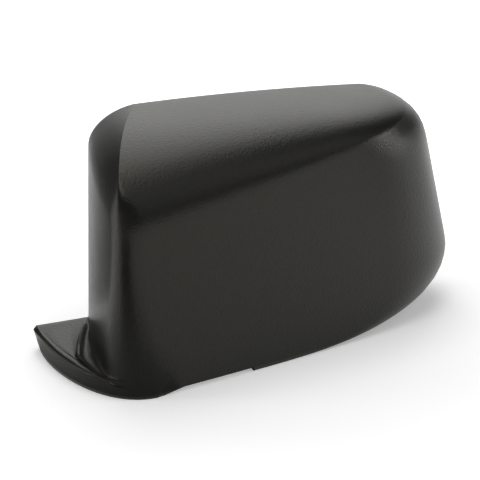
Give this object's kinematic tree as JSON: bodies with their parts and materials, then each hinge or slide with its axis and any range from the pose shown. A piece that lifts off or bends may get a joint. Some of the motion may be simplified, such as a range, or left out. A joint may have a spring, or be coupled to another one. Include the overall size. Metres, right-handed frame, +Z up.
{
  "type": "wing mirror cover",
  "caption": "Convex plastic wing mirror cover with a sloping crowned top, a crease at one end, an open rim and a stepped pivot foot.",
  "frame": {"origin": "middle of the bounding box in plan, on the floor that the pivot foot and the bottom wall rest on", "axes": "+X along the cover from the pivot foot to the far end, +Y from the convex face to the open rim, +Z up"},
  "size_m": [0.2834, 0.1, 0.148],
  "materials": {
    "grained_plastic": "fine moulded grain, black"
  },
  "bodies": {
    "root": {"mirror_cover": "grained_plastic"}
  },
  "joints": []
}
